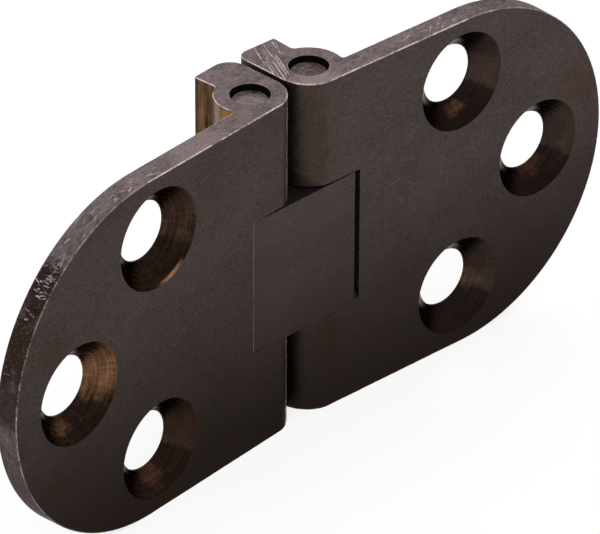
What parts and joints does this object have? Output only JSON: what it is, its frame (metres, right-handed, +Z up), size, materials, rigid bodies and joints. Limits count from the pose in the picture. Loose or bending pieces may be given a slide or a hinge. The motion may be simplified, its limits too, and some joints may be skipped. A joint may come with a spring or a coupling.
{
  "type": "self-supporting flush hinge",
  "caption": "Flush two-pin flap hinge: round-ended countersunk leaves swing on a notched middle link, and stop dogs behind the knuckles hold them flat.",
  "frame": {"origin": "centre of the link's front face, midway between the two pins and at mid-width of the leaves", "axes": "+Z up along the pins, +X along the hinge towards the right leaf, +Y backwards, away from the countersunk front"},
  "size_m": [0.0651, 0.0105, 0.03],
  "materials": {
    "burnished_leaf": "oil-burnished brass, nearly black-brown, with brighter worn edges and bare metal in the sunk cuts",
    "burnished_link": "oil-burnished brass, fine straight grain",
    "pin_end": "dull, darkened brass with turned ends"
  },
  "bodies": {
    "left_leaf": {"left_leaf": "burnished_leaf", "left_pin": "pin_end"},
    "link": {"link": "burnished_link"},
    "right_leaf": {"right_leaf": "burnished_leaf", "right_pin": "pin_end"}
  },
  "joints": [
    {"name": "left_pivot", "type": "hinge", "parent": "left_leaf", "child": "link", "pos_m": [-0.00315, 0.00285, 0], "axis": [0, 0, -1], "range_deg": [-4.9, 85.1]},
    {"name": "right_pivot", "type": "hinge", "parent": "link", "child": "right_leaf", "pos_m": [0.00315, 0.00285, 0], "axis": [0, 0, -1], "range_deg": [-2.5, 87.5]}
  ]
}
